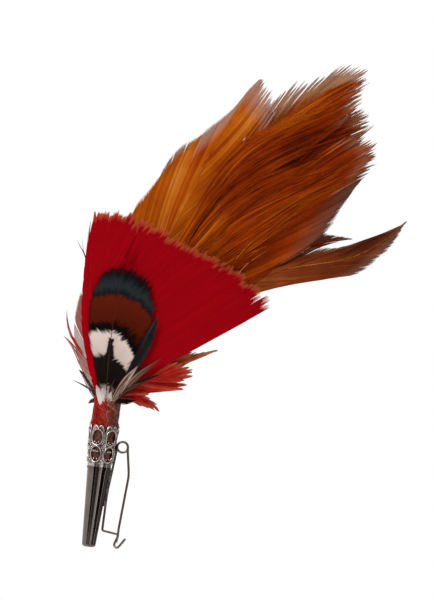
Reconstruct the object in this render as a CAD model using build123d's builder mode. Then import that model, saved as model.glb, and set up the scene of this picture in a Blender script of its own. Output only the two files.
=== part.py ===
"""Feather brooch: a sheaf of dyed feathers glued into a tapered metal holder that carries a wire safety pin.

Frame: millimetres, origin at the centre of the holder's closed flat end, +Z along the holder's axis up to the
feathers, +X towards the safety pin, so the wide sides of the fan face -Y (front) and +Y (back).
"""

import os
from math import cos, radians, sin, sqrt, tan

from build123d import *

# Clearances: SLIP between pieces that seat on each other, RUB between the wire and what it passes
SLIP = 0.03
RUB = 0.1

# Holder tube: rolled sheet with a closed, rounded end
SHEET = 0.4
END_RADIUS = 2.05
TUBE_LENGTH = 24.2
TUBE_FLARE = 0.0604
END_FILLET = 0.75
VENT_RADIUS = 0.35
VENT_HEIGHT = 5.6
VENT_ANGLE = 70
BAND_HEIGHT = 0.8
BAND_PROUD = 0.16

# Pierced collar, soldered on the tube's mouth. Rises are measured from its lower edge.
COLLAR_LENGTH = 12.37
COLLAR_STEP = 0.04
COLLAR_FLARE = 0.0704
COLLAR_SHEET = 0.45
MOTIFS = 6
FIRST_MOTIF_ANGLE = -21.4
RING_RISE = 3.87
RING_HALF_WIDTH = 2.0
RING_HALF_HEIGHT = 2.65
RIDGE_HEIGHT = 0.2
RIDGE_WIDTH = 0.5
CROSSBAR = 0.6
NOTCH_DEPTH = 3.4
NOTCH_WIDTH = 2.6

# Packing, glue and binding thread that hold the quills
PACKING_WALL = 0.35
PACKING_PROUD = 1.4
PLUG_DEPTH = 5.2
PLUG_PROUD = 0.2
THREAD = 0.34
WRAP_TURNS = 21
WRAP_SLACK = 0.18

# Safety pin, bent from one spring wire. Rises are measured from the collar's lower edge,
# heights from the holder's closed end, and outs from the straight leg's centre line.
WIRE = 0.70
COIL_RISE = 6.67
COIL_RADIUS = 1.6
COIL_TURNS = 1.5
COIL_GAP = 0.08
COIL_BEND = 20
JOINT_GAP = 0.08
COLLAR_CROSSING_RISE = 0.77
LEG_STRAIGHT_BELOW = 7.7
LEG_FOOT_HEIGHT = 5.3
SHOULDER_OUT = 0.2
SHOULDER_DROP = 1.6
KNEE_OUT = 1.37
KNEE_BELOW = 1.4
KNEE_BEND = 12.0
SHOULDER_BEND = 8.0
CATCH_BEND_OUT = 4.87
CATCH_BEND_HEIGHT = 6.6
TIP_OUT = 4.9
TIP_HEIGHT = 2.1
POINT_LENGTH = 2.0
POINT_RADIUS = 0.06
CROSS_OUT = 5.04
CROSS_HEIGHT = 4.75
HOOK_START_OUT = 4.04
HOOK_START_HEIGHT = 1.5
HOOK_FLOOR_OUT = 5.04
HOOK_END_OUT = 7.24
HOOK_END_HEIGHT = 3.8
HOOK_LEAN = 0.1
SOLDER_HEIGHTS = (13.4, 17.2, 21.0)
SOLDER_LENGTH = 1.6

# Feathers: each one lies in its own thin plane, and the planes fan out a little from the neck
VANE = 0.2
QUILL = 0.36
NECK_RISE = 6.0
QUILL_BEND_BELOW = 2.0
QUILL_DEPTH = 13.6
LAYER_STEP = 0.38
LAYER_LEAN = 0.62
GATHER_ROOM = 0.35
SHAFT_REACH = 0.93

# name: shaft, left edge and right edge, as (x, height above the neck) points from the neck to the tip.
# The order is the order in the sheaf, from the front feather to the back one.
FEATHERS = {
    "pheasant_feather": (
        [(-0.5, 2), (-1.1, 10), (-1.3, 21), (-0.9, 31), (-0.8, 40.4)],
        [(-1.8, 2), (-3.8, 5), (-6.2, 13), (-8.4, 20.4), (-8.9, 29), (-7.2, 36.6), (-4, 39.7)],
        [(1.8, 3), (4.6, 9), (8, 17), (10.3, 25), (10.2, 32), (8, 37), (4, 40)],
    ),
    "red_feather_left": (
        [(-1.5, 2), (-4.5, 12), (-8, 24), (-10, 38), (-10.9, 55.3)],
        [(-3, 2), (-5.2, 4.5), (-8.6, 14), (-11, 24), (-11.9, 36), (-12, 46)],
        [(0, 6), (2, 21), (4.2, 36), (4.2, 48), (1.5, 55.5), (-4, 56.4)],
    ),
    "red_feather_fan": (
        [(0.5, 2), (-1.5, 14), (-2.6, 28), (-2, 42), (-0.5, 56.2)],
        [(-1, 4), (-4, 12), (-6, 26), (-6, 40), (-4, 52)],
        [(44.8, 34.4), (41.6, 38.2), (32.7, 44), (21.5, 48.6), (10.3, 52.7)],
    ),
    "red_hackle_right": (
        [(1.5, 2), (8, 6), (15, 8.8), (24.4, 12.2)],
        [(3, 5.5), (10, 12), (17, 14.8), (23, 14.6)],
        [(4, 2), (10.9, 3.4), (16, 5), (21.6, 6.4), (23.6, 9.4)],
    ),
    "red_hackle_low": (
        [(2, 1.6), (7, 3.2), (11.5, 1.8), (15.9, -1.1)],
        [(4, 3.6), (8.5, 5), (12, 4.2), (14.3, 2.1)],
        [(4.6, 1.3), (8, 1.4), (10.2, -0.1), (12.2, -1.1)],
    ),
    "ginger_wisp": (
        [(1, 2), (10, 8), (18, 13.2), (25, 17.2), (30.8, 19.5)],
        [(3, 5), (12, 12), (19, 16.4), (25, 18.6)],
        [(5, 3), (13, 7.5), (19, 11.2), (25, 15.4)],
    ),
    "ginger_feather_bright": (
        [(0.8, 2), (8, 24), (16, 40), (23.4, 50), (32.8, 60.2), (48.7, 71), (60, 78), (69.6, 86.8)],
        [(0.5, 16), (5, 36), (12, 51), (21, 64), (32, 73.5), (43, 80.5), (54, 86), (63, 88.4)],
        [(8, 14), (18, 32), (28, 44), (38, 53), (49, 61), (58, 68), (65, 75), (69.6, 81)],
    ),
    "ginger_feather_golden": (
        [(-0.8, 2), (0.6, 14), (3, 28), (7.4, 40.7), (13, 55.6), (19.1, 74), (24.6, 86.2), (33.2, 101.7)],
        [(-3, 14), (-3, 36), (0.7, 57), (4.3, 63.9), (13, 77.7), (18.5, 82.2), (24.7, 88.4), (28.9, 95.4)],
        [(6, 16), (14, 34), (22, 54), (27, 66), (31, 77), (35, 87), (36.8, 94), (36, 98)],
    ),
    "ginger_feather_cut": (
        [(1.2, 2), (10, 22), (20, 36), (29.5, 45.1), (38.9, 53.9), (48, 63.4), (57, 70.6), (66.5, 75.7)],
        [(3, 16), (11, 39), (22, 54), (33, 64.5), (44, 72.5), (54, 77), (62, 78)],
        [(16, 18), (30, 34), (44, 46), (57.7, 58.5), (62.2, 67.3)],
    ),
    "ginger_feather_swoosh": (
        [(1.8, 2), (14, 22), (26, 35), (35.9, 42), (48.9, 46.8), (60.6, 50.1), (69.2, 53.6), (76.1, 58.9),
         (81.9, 65.3)],
        [(8, 22), (22, 38), (36, 48), (48, 53), (60.7, 55.9), (68.6, 58.3), (72.8, 60.6), (78.3, 65.2)],
        [(14, 16), (26, 30), (36.1, 39.6), (52.4, 43.5), (61.1, 45.8), (69.1, 47.5), (76.7, 53.6),
         (80.5, 59.8)],
    ),
    "ginger_feather_upper": (
        [(0, 2), (3, 18), (8, 36), (14, 51), (21.5, 69), (29.1, 81.2), (41.1, 90), (51.5, 95.6),
         (64.4, 106.4)],
        [(-3, 16), (0, 38), (6, 56), (13, 72), (20, 83), (33.8, 97.1), (46.5, 103.5), (58, 109), (62, 108.2)],
        [(8, 18), (17, 38), (26, 54), (36, 66), (46, 76), (54, 84), (60, 92), (63.5, 99)],
    ),
    "ginger_feather_middle": (
        [(0.6, 2), (5, 18), (11, 35), (20, 55.5), (30.4, 71.6), (44.2, 82.8), (55, 89.2), (66.6, 95.7)],
        [(0, 18), (6, 40), (13, 57), (21, 71), (30, 81), (40, 88.5), (50, 94), (58, 97), (63, 97.4)],
        [(10, 18), (20, 37), (30, 52), (40, 63), (50, 72), (59, 80), (65, 87), (66.9, 92)],
    ),
    "ginger_feather_fringed": (
        [(1.4, 2), (8, 20), (17, 38), (26, 51), (36, 62), (47, 71), (58, 78.3), (70.3, 83.9)],
        [(5, 20), (14, 44), (25, 60), (37, 72), (49, 81), (59, 87), (66.6, 89.2)],
        [(14, 16), (25, 34), (36, 47), (47, 57), (57, 66), (65, 74), (69.7, 79.2)],
    ),
    "ginger_feather_lower": (
        [(1.6, 2), (12, 22), (23, 36), (32.7, 44), (41, 49.4), (51, 53.8), (60, 56.9), (66.7, 58.1)],
        [(8, 20), (19, 40), (30, 51), (41, 58), (50, 61), (57, 60.5)],
        [(18, 20), (29, 35), (39, 43), (48, 48), (55, 52.4), (59, 55.3)],
    ),
    "ginger_feather_left": (
        [(-0.5, 2), (0, 16), (1.5, 36), (4, 54), (8, 68), (14, 80), (20, 88.6), (26, 95.4)],
        [(-4, 16), (-4, 40), (-0.2, 57), (3.6, 64.4), (5.8, 71.4), (8.1, 76.4), (13, 80.6), (19, 88.6)],
        [(6, 20), (11, 40), (16, 60), (20, 73), (24, 84), (26.5, 90)],
    ),
    "ginger_feather_back": (
        [(0.3, 2), (4, 20), (10, 40), (17, 58), (26, 74), (37, 87), (48, 96.8), (63.6, 109)],
        [(-2, 20), (3, 44), (10, 62), (19, 77), (30, 89), (42, 99), (53, 106), (60, 109.4)],
        [(10, 22), (20, 44), (30, 60), (40, 73), (50, 85), (58, 95), (64, 103)],
    ),
    "red_hackle_left": (
        [(-0.5, 2), (-4.6, 10), (-8.5, 20), (-10.6, 34), (-12.6, 49)],
        [(-2.6, 2), (-7, 5.5), (-11, 12), (-13.2, 19), (-13.5, 28), (-13.4, 40)],
        [(-0.4, 10), (-3, 26), (-6, 40), (-9.6, 48)],
    ),
}

os.makedirs("parts", exist_ok=True)


def keep(builder, label):
    """Names a finished piece and writes its STEP file."""
    builder.part.label = label
    export_step(builder.part, f"parts/{label}.step")


def tube_radius(z):
    """Outside radius of the holder's tapered tube at height z."""
    return END_RADIUS + TUBE_FLARE * z


COLLAR_BOTTOM = TUBE_LENGTH + SLIP
COLLAR_TOP = COLLAR_BOTTOM + COLLAR_LENGTH
COLLAR_FOOT_RADIUS = tube_radius(TUBE_LENGTH) + COLLAR_STEP


def collar_radius(z):
    """Outside radius of the collar's sheet at height z."""
    return COLLAR_FOOT_RADIUS + COLLAR_FLARE * (z - COLLAR_BOTTOM)


def soft_corners(points):
    """A wire of straight runs joined by tangent arcs as large as the runs beside each corner allow."""
    runs = [(b - a) for a, b in zip(points, points[1:])]
    radii = []
    for before, after in zip(runs, runs[1:]):
        turn = radians(before.get_angle(after))
        radii.append(0.45 * min(before.length, after.length) / tan(turn / 2))
    return FilletPolyline(*points, radius=radii)


# The holder's tube: rolled sheet, closed and rounded at its small end, with a vent hole beside the pin
with BuildPart() as holder_tube:
    with BuildSketch(Plane.XZ) as tube_section:
        with BuildLine():
            Polyline(
                (0, 0),
                (END_RADIUS, 0),
                (tube_radius(TUBE_LENGTH), TUBE_LENGTH),
                (tube_radius(TUBE_LENGTH) - SHEET, TUBE_LENGTH),
                (END_RADIUS - SHEET, SHEET),
                (0, SHEET),
                close=True,
            )
        make_face()
        outer_corner = tube_section.vertices().group_by(Axis.Y)[0].sort_by(Axis.X)[-1]
        inner_corner = tube_section.vertices().group_by(Axis.Y)[1].sort_by(Axis.X)[-1]
        fillet(outer_corner, END_FILLET)
        fillet(inner_corner, END_FILLET - SHEET)
    revolve(axis=Axis.Z)
    vent_way = (sin(radians(VENT_ANGLE)), -cos(radians(VENT_ANGLE)), 0)
    with BuildSketch(Plane(origin=(0, 0, VENT_HEIGHT), x_dir=(0, 0, 1), z_dir=vent_way)):
        Circle(VENT_RADIUS)
    extrude(amount=tube_radius(VENT_HEIGHT) + SHEET, mode=Mode.SUBTRACT)
keep(holder_tube, "holder_tube")

# The band: a thin strap burnished round the tube at its mouth
BAND_TOP = TUBE_LENGTH
with BuildPart() as collar_band:
    with BuildSketch(Plane.XZ):
        with BuildLine():
            Polyline(
                (tube_radius(BAND_TOP) + SLIP, BAND_TOP),
                (tube_radius(BAND_TOP) + SLIP + BAND_PROUD, BAND_TOP),
                (tube_radius(BAND_TOP - BAND_HEIGHT) + SLIP + BAND_PROUD, BAND_TOP - BAND_HEIGHT),
                (tube_radius(BAND_TOP - BAND_HEIGHT) + SLIP, BAND_TOP - BAND_HEIGHT),
                close=True,
            )
        make_face()
    revolve(axis=Axis.Z)
keep(collar_band, "collar_band")

# The pierced collar: flared sheet with rounded windows in raised ring frames, one row above the other
MOTIF_ANGLES = [FIRST_MOTIF_ANGLE + n * 360 / MOTIFS for n in range(MOTIFS)]
LOWER_RING_HEIGHT = COLLAR_BOTTOM + RING_RISE
UPPER_RING_HEIGHT = LOWER_RING_HEIGHT + 2 * RING_HALF_HEIGHT - RIDGE_WIDTH / 2
REACH = 2 * collar_radius(COLLAR_TOP)


def facing(angle, z):
    """A plane through the axis at height z whose normal points out at angle degrees from the front (-Y)."""
    out = Vector(sin(radians(angle)), -cos(radians(angle)), 0)
    return Plane(origin=(0, 0, z), x_dir=(cos(radians(angle)), sin(radians(angle)), 0), z_dir=out)


def collar_shell(outside, inside):
    """Corners of the collar's section between two offsets from its outside surface."""
    return [
        (collar_radius(COLLAR_BOTTOM) + outside, COLLAR_BOTTOM),
        (collar_radius(COLLAR_TOP) + outside, COLLAR_TOP),
        (collar_radius(COLLAR_TOP) + inside, COLLAR_TOP),
        (collar_radius(COLLAR_BOTTOM) + inside, COLLAR_BOTTOM),
    ]


with BuildPart(mode=Mode.PRIVATE) as ring_frames:
    for angle in MOTIF_ANGLES:
        for height in (LOWER_RING_HEIGHT, UPPER_RING_HEIGHT):
            with BuildSketch(facing(angle, height)):
                Ellipse(RING_HALF_WIDTH, RING_HALF_HEIGHT)
                Ellipse(RING_HALF_WIDTH - RIDGE_WIDTH, RING_HALF_HEIGHT - RIDGE_WIDTH, mode=Mode.SUBTRACT)
            extrude(amount=REACH)

with BuildPart(mode=Mode.PRIVATE) as ridges:
    with BuildSketch(Plane.XZ):
        with BuildLine():
            Polyline(*collar_shell(RIDGE_HEIGHT, -COLLAR_SHEET / 2), close=True)
        make_face()
    revolve(axis=Axis.Z)
    add(ring_frames.part, mode=Mode.INTERSECT)

with BuildPart() as pierced_collar:
    with BuildSketch(Plane.XZ):
        with BuildLine():
            Polyline(*collar_shell(0, -COLLAR_SHEET), close=True)
        make_face()
    revolve(axis=Axis.Z)
    for angle in MOTIF_ANGLES:
        for height in (LOWER_RING_HEIGHT, UPPER_RING_HEIGHT):
            with BuildSketch(facing(angle, height)):
                Ellipse(RING_HALF_WIDTH - RIDGE_WIDTH, RING_HALF_HEIGHT - RIDGE_WIDTH)
                if height == LOWER_RING_HEIGHT:
                    with Locations((0, RING_HALF_HEIGHT / 3)):
                        Rectangle(2 * RING_HALF_WIDTH, CROSSBAR, mode=Mode.SUBTRACT)
            extrude(amount=REACH, mode=Mode.SUBTRACT)
    for motif in MOTIF_ANGLES:
        angle = motif + 180 / MOTIFS
        with BuildSketch(facing(angle, COLLAR_TOP)):
            with BuildLine():
                Polyline((-NOTCH_WIDTH / 2, 1), (0, -NOTCH_DEPTH), (NOTCH_WIDTH / 2, 1), close=True)
            make_face()
        extrude(amount=REACH, mode=Mode.SUBTRACT)
    add(ridges.part)
keep(pierced_collar, "pierced_collar")

# Packing: brown tape wound round the quills until they fill the collar, which shows through the windows
PACKING_BOTTOM = TUBE_LENGTH + SLIP
PACKING_TOP = COLLAR_TOP + PACKING_PROUD
PACKING_BORE = COLLAR_FOOT_RADIUS - COLLAR_SHEET - SLIP - PACKING_WALL
SHEAF_HALF_DEPTH = (len(FEATHERS) - 1) / 2 * LAYER_STEP
WRAP_BORE = SHEAF_HALF_DEPTH + QUILL / 2 + WRAP_SLACK


def packing_radius(z):
    """Outside radius of the packing, just inside the collar's sheet."""
    return collar_radius(z) - COLLAR_SHEET - SLIP


with BuildPart() as quill_packing:
    with BuildSketch(Plane.XZ):
        with BuildLine():
            Polyline(
                (PACKING_BORE, PACKING_BOTTOM),
                (packing_radius(PACKING_BOTTOM), PACKING_BOTTOM),
                (packing_radius(COLLAR_TOP), COLLAR_TOP),
                (packing_radius(COLLAR_TOP), (COLLAR_TOP + PACKING_TOP) / 2),
                (WRAP_BORE + THREAD, PACKING_TOP),
                (PACKING_BORE, PACKING_TOP),
                close=True,
            )
        make_face()
    revolve(axis=Axis.Z)
keep(quill_packing, "quill_packing")

# Safety pin. The leg runs down the holder's side and out to form a hook. The coil turns towards the front,
# so the arm lies in front of the leg, and the hook's far side stands in the arm's plane to stop it.
COIL_Z = COLLAR_BOTTOM + COIL_RISE
COIL_X = collar_radius(COIL_Z) + RIDGE_HEIGHT + RUB + WIRE / 2 + COIL_RADIUS
CROSSING_Z = COLLAR_BOTTOM + COLLAR_CROSSING_RISE
CROSSING_X = collar_radius(CROSSING_Z) + RIDGE_HEIGHT + RUB / 2 + WIRE / 2
LEG_Z = COLLAR_BOTTOM - LEG_STRAIGHT_BELOW
LEG_X = tube_radius(LEG_Z) + RUB / 2 + WIRE / 2
COIL_PITCH = WIRE + COIL_GAP
ARM_Y = -COIL_TURNS * COIL_PITCH
CATCH_Y = ARM_Y + WIRE + RUB

with BuildPart() as base_wire:
    with BuildLine() as base_route:
        FilletPolyline(
            (COIL_X - COIL_RADIUS, 0, COIL_Z - JOINT_GAP),
            (CROSSING_X, 0, CROSSING_Z),
            (LEG_X, 0, LEG_Z),
            (LEG_X, 0, LEG_FOOT_HEIGHT),
            (LEG_X + CROSS_OUT, CATCH_Y, CROSS_HEIGHT),
            (LEG_X + HOOK_START_OUT, CATCH_Y - HOOK_LEAN, HOOK_START_HEIGHT),
            (LEG_X + HOOK_FLOOR_OUT, ARM_Y + HOOK_LEAN, WIRE / 2 + RUB / 2),
            (LEG_X + HOOK_END_OUT, ARM_Y, HOOK_END_HEIGHT),
            radius=[COIL_BEND, COIL_BEND, 0.8 * WIRE, 0.65 * WIRE, 1.15 * WIRE, 1.1 * WIRE],
        )
    with BuildSketch(Plane(base_route.line @ 0, z_dir=base_route.line % 0)):
        Circle(WIRE / 2)
    sweep()
keep(base_wire, "base_wire")

coil_place = Plane(origin=(COIL_X, 0, COIL_Z), x_dir=(-1, 0, 0), z_dir=(0, -1, 0))
winding = coil_place.location * Helix(COIL_PITCH, COIL_TURNS * COIL_PITCH, COIL_RADIUS, lefthand=True)
with BuildPart() as spring_coil:
    with BuildSketch(Plane(winding @ 0, z_dir=winding % 0)):
        Circle(WIRE / 2)
    sweep(path=winding)
keep(spring_coil, "spring_coil")

SHOULDER_X = COIL_X + COIL_RADIUS
knee = Vector(SHOULDER_X + KNEE_OUT, ARM_Y, TUBE_LENGTH - KNEE_BELOW)
catch_bend = Vector(LEG_X + CATCH_BEND_OUT, ARM_Y, CATCH_BEND_HEIGHT)
tip = Vector(LEG_X + TIP_OUT, ARM_Y, TIP_HEIGHT)
point_way = (tip - catch_bend).normalized()
point_start = tip - point_way * POINT_LENGTH
with BuildPart() as pin_arm:
    with BuildLine() as arm_route:
        FilletPolyline(
            (SHOULDER_X, ARM_Y, COIL_Z - JOINT_GAP),
            (SHOULDER_X + SHOULDER_OUT, ARM_Y, COIL_Z - SHOULDER_DROP),
            knee,
            catch_bend,
            point_start,
            radius=[SHOULDER_BEND, KNEE_BEND, KNEE_BEND],
        )
    with BuildSketch(Plane(arm_route.line @ 0, z_dir=arm_route.line % 0)):
        Circle(WIRE / 2)
    sweep()
    with BuildSketch(Plane(point_start, z_dir=point_way)):
        Circle(WIRE / 2)
    with BuildSketch(Plane(tip, z_dir=point_way)):
        Circle(POINT_RADIUS)
    loft()
keep(pin_arm, "pin_arm")

# Solder: short fillets that fill the narrow gap between the tube and the pin's leg
with BuildPart(mode=Mode.PRIVATE) as metal_in_the_way:
    add(holder_tube.part)
    add(base_wire.part)
with BuildPart() as solder_joints:
    for height in SOLDER_HEIGHTS:
        with Locations((tube_radius(height) + WIRE / 2, 0, height)):
            Box(1.3 * WIRE, 1.5 * WIRE, SOLDER_LENGTH)
    fillet(solder_joints.edges().filter_by(Axis.Z), 0.3 * WIRE)
    add(metal_in_the_way.part, mode=Mode.SUBTRACT)
keep(solder_joints, "solder_joints")


# Feathers
NECK_HEIGHT = PACKING_TOP + NECK_RISE
SOCKET_SHARE = (PACKING_BORE - QUILL / 2 - GATHER_ROOM) / SHEAF_HALF_DEPTH
QUILL_END = COLLAR_TOP - QUILL_DEPTH
PLUG_BOTTOM = TUBE_LENGTH - PLUG_DEPTH
PLUG_TOP = COLLAR_TOP + PLUG_PROUD


def layer_y(layer):
    """How far a layer's plane stands from the middle of the neck."""
    return (layer - (len(FEATHERS) - 1) / 2) * LAYER_STEP


def layer_plane(layer):
    """A feather's plane: local x is the frame's X, local y runs up and leans away from the middle layer."""
    lean = radians((layer - (len(FEATHERS) - 1) / 2) * LAYER_LEAN)
    return Plane(
        origin=(0, layer_y(layer), NECK_HEIGHT), x_dir=(1, 0, 0), z_dir=(0, -cos(lean), sin(lean))
    )


def neck_x(layer):
    """Quills stand alternately left and right of the middle, so that neighbours clear each other."""
    room = sqrt(layer_y(0) ** 2 - layer_y(layer) ** 2)
    return (-1) ** layer * (0.3 + 0.5 * room)


quills = []
for layer, (name, (shaft, left, right)) in enumerate(FEATHERS.items()):
    plane = layer_plane(layer)
    socket = Vector(neck_x(layer), layer_y(layer)) * SOCKET_SHARE
    last, vane_tip = Vector(*shaft[-2]), Vector(*shaft[-1])
    spine = [Vector(*point) for point in shaft[:-1]] + [last + (vane_tip - last) * SHAFT_REACH]
    with BuildPart() as feather:
        with BuildLine() as shaft_route:
            soft_corners(
                [
                    Vector(socket.X, socket.Y, QUILL_END),
                    Vector(socket.X, socket.Y, COLLAR_TOP),
                    Vector(neck_x(layer), layer_y(layer), NECK_HEIGHT - QUILL_BEND_BELOW),
                    *[plane.from_local_coords(point) for point in spine],
                ]
            )
        with BuildSketch(Plane(shaft_route.line @ 0, z_dir=shaft_route.line % 0)):
            Circle(QUILL / 2)
        sweep()
        with BuildSketch(plane):
            with BuildLine():
                Polyline(shaft[0], *left, shaft[-1], *reversed(right), close=True)
            make_face()
        extrude(amount=VANE / 2, both=True)
    keep(feather, name)
    quills.append(feather.part)

# Glue plug: sets the quills in the packing and the upper part of the tube
with BuildPart() as glue_plug:
    with BuildSketch(Plane.XZ):
        with BuildLine():
            Polyline(
                (0, PLUG_BOTTOM),
                (tube_radius(PLUG_BOTTOM) - SHEET - SLIP, PLUG_BOTTOM),
                (PACKING_BORE - SLIP, TUBE_LENGTH),
                (PACKING_BORE - SLIP, PLUG_TOP),
                (0, PLUG_TOP),
                close=True,
            )
        make_face()
    revolve(axis=Axis.Z)
    for one in quills:
        add(one, mode=Mode.SUBTRACT)
keep(glue_plug, "glue_plug")

# Neck wrap: binding thread wound in close turns round the gathered feather bases
WRAP_BOTTOM = PACKING_TOP + SLIP
TURN_HEIGHTS = [WRAP_BOTTOM + (n + 0.5) * THREAD for n in range(WRAP_TURNS)]
with BuildPart() as neck_wrap:
    with BuildSketch(Plane.XZ):
        with Locations((WRAP_BORE + THREAD / 4, WRAP_BOTTOM + WRAP_TURNS * THREAD / 2)):
            Rectangle(THREAD / 2, WRAP_TURNS * THREAD)
        with Locations(*[(WRAP_BORE + THREAD / 2, height) for height in TURN_HEIGHTS]):
            Circle(THREAD / 2)
    revolve(axis=Axis.Z)
keep(neck_wrap, "neck_wrap")
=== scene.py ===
"""Feather brooch: a sheaf of dyed feathers in a tapered nickel holder, worn by the safety pin on its side."""

import math
import random

import bmesh
import bpy
from mathutils import Matrix, Vector


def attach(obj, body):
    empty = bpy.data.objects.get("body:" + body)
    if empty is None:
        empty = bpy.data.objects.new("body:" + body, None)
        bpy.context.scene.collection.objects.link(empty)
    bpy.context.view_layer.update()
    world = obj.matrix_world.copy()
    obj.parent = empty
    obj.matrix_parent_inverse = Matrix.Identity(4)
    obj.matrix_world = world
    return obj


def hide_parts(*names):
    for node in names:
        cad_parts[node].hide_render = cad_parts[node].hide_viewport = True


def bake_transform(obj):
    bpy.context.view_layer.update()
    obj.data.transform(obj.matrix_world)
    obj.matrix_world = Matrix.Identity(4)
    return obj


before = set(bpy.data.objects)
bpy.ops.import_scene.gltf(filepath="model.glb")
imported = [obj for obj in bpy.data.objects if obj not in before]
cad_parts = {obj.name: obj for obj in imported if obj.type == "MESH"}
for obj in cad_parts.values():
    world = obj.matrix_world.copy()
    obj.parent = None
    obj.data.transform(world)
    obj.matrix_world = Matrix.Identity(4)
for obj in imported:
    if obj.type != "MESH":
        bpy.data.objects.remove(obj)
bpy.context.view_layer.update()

# Studio. The brooch is held up with nothing under it but a pale floor, lit by large soft lamps from the front
# left and above. Dark cards round it give the polished metal something dark to mirror.
MM = 0.001
CENTRE = Vector((28.8, 0, 78.4)) * MM
ROLL = math.radians(7.56)
VIEW_HEIGHT = 180 * MM
LENS = 150
SENSOR = 36
CARD_AWAY = 0.3
CARD_HALF_HEIGHT = 0.12
CARD_MIDDLE = 0.02


def linear(code):
    """An sRGB hex colour as the linear RGBA that a socket takes."""
    channels = [int(code[i : i + 2], 16) / 255 for i in (0, 2, 4)]
    return tuple(c / 12.92 if c <= 0.04045 else ((c + 0.055) / 1.055) ** 2.4 for c in channels) + (1.0,)


def add_node(tree, kind, settings=None, inputs=None):
    """Adds a node, sets its properties, and gives each named or numbered input a value or a link."""
    made = tree.nodes.new(kind)
    for key, value in (settings or {}).items():
        setattr(made, key, value)
    for key, value in (inputs or {}).items():
        if isinstance(value, bpy.types.NodeSocket):
            tree.links.new(value, made.inputs[key])
        else:
            made.inputs[key].default_value = value
    return made


def new_material(name):
    """An empty node material and its tree."""
    made = bpy.data.materials.new(name)
    made.use_nodes = True
    made.node_tree.nodes.clear()
    return made, made.node_tree


def aim(thing, place, target):
    """Puts a lamp or card at a place with its -Z towards a target."""
    turn = (Vector(target) - Vector(place)).to_track_quat("-Z", "Y")
    thing.matrix_world = Matrix.Translation(place) @ turn.to_matrix().to_4x4()


def stand(name, data):
    """Links a new object into the scene."""
    made = bpy.data.objects.new(name, data)
    bpy.context.scene.collection.objects.link(made)
    return made


camera = stand("camera", bpy.data.cameras.new("camera"))
camera.data.lens = LENS
camera.data.sensor_width = SENSOR
camera.data.clip_start = 0.01
distance = VIEW_HEIGHT * LENS / SENSOR
right, up = Vector((math.cos(ROLL), 0, math.sin(ROLL))), Vector((-math.sin(ROLL), 0, math.cos(ROLL)))
turned = Matrix((right, up, right.cross(up))).transposed().to_4x4()
camera.matrix_world = Matrix.Translation(CENTRE + Vector((0, -distance, 0))) @ turned
bpy.context.scene.camera = camera
bpy.context.scene.view_settings.view_transform = "Standard"

for name, place, size, power in (
    ("key_lamp", (-0.5, -0.65, 0.6), 0.35, 6.0),
    ("fill_lamp", (0.65, -0.6, 0.1), 0.6, 1.2),
    ("top_lamp", (0.2, 0.15, 0.9), 0.5, 3.0),
    ("back_lamp", (-0.2, 0.8, 0.4), 0.6, 3.0),
):
    lamp = bpy.data.lights.new(name, "AREA")
    lamp.size, lamp.energy = size, power
    aim(stand(name, lamp), place, CENTRE)

world = bpy.data.worlds.new("studio")
bpy.context.scene.world = world
world.use_nodes = True
tree = world.node_tree
tree.nodes.clear()
path = add_node(tree, "ShaderNodeLightPath")
seen = add_node(tree, "ShaderNodeMath", {"operation": "MAXIMUM"},
                {0: path.outputs["Is Camera Ray"], 1: path.outputs["Is Transmission Ray"]})
seen = add_node(tree, "ShaderNodeMath", {"operation": "MAXIMUM"},
                {0: seen.outputs[0], 1: path.outputs["Is Glossy Ray"]})
soft = add_node(tree, "ShaderNodeBackground", None, {"Color": linear("FFFFFF"), "Strength": 0.45})
white = add_node(tree, "ShaderNodeBackground", None, {"Color": linear("FFFFFF"), "Strength": 1.0})
mixed = add_node(tree, "ShaderNodeMixShader", None,
                 {0: seen.outputs[0], 1: soft.outputs[0], 2: white.outputs[0]})
add_node(tree, "ShaderNodeOutputWorld", None, {"Surface": mixed.outputs[0]})

# The floor fades out into the white round its rim, so that it has no edge.
FLOOR_DROP = 60 * MM
FLOOR_RADIUS = 0.32
shape = bmesh.new()
bmesh.ops.create_circle(shape, cap_ends=True, segments=96, radius=FLOOR_RADIUS)
bmesh.ops.translate(shape, verts=shape.verts, vec=(0, 0, -FLOOR_DROP))
floor = stand("floor", bpy.data.meshes.new("floor"))
shape.to_mesh(floor.data)
shape.free()
paper, tree = new_material("matt_white_card")
spot = add_node(tree, "ShaderNodeTexCoord")
flat = add_node(tree, "ShaderNodeVectorMath", {"operation": "MULTIPLY"},
                {0: spot.outputs["Object"], 1: (1, 1, 0)})
away = add_node(tree, "ShaderNodeVectorMath", {"operation": "LENGTH"}, {0: flat.outputs[0]})
fade = add_node(tree, "ShaderNodeMapRange", None,
                {0: away.outputs["Value"], 1: 0.45 * FLOOR_RADIUS, 2: FLOOR_RADIUS, 3: 1.0, 4: 0.0})
card = add_node(tree, "ShaderNodeBsdfPrincipled", None,
                {"Base Color": linear("F4F3F1"), "Roughness": 0.9, "Alpha": fade.outputs[0]})
add_node(tree, "ShaderNodeOutputMaterial", None, {"Surface": card.outputs[0]})
floor.data.materials.append(paper)

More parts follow.
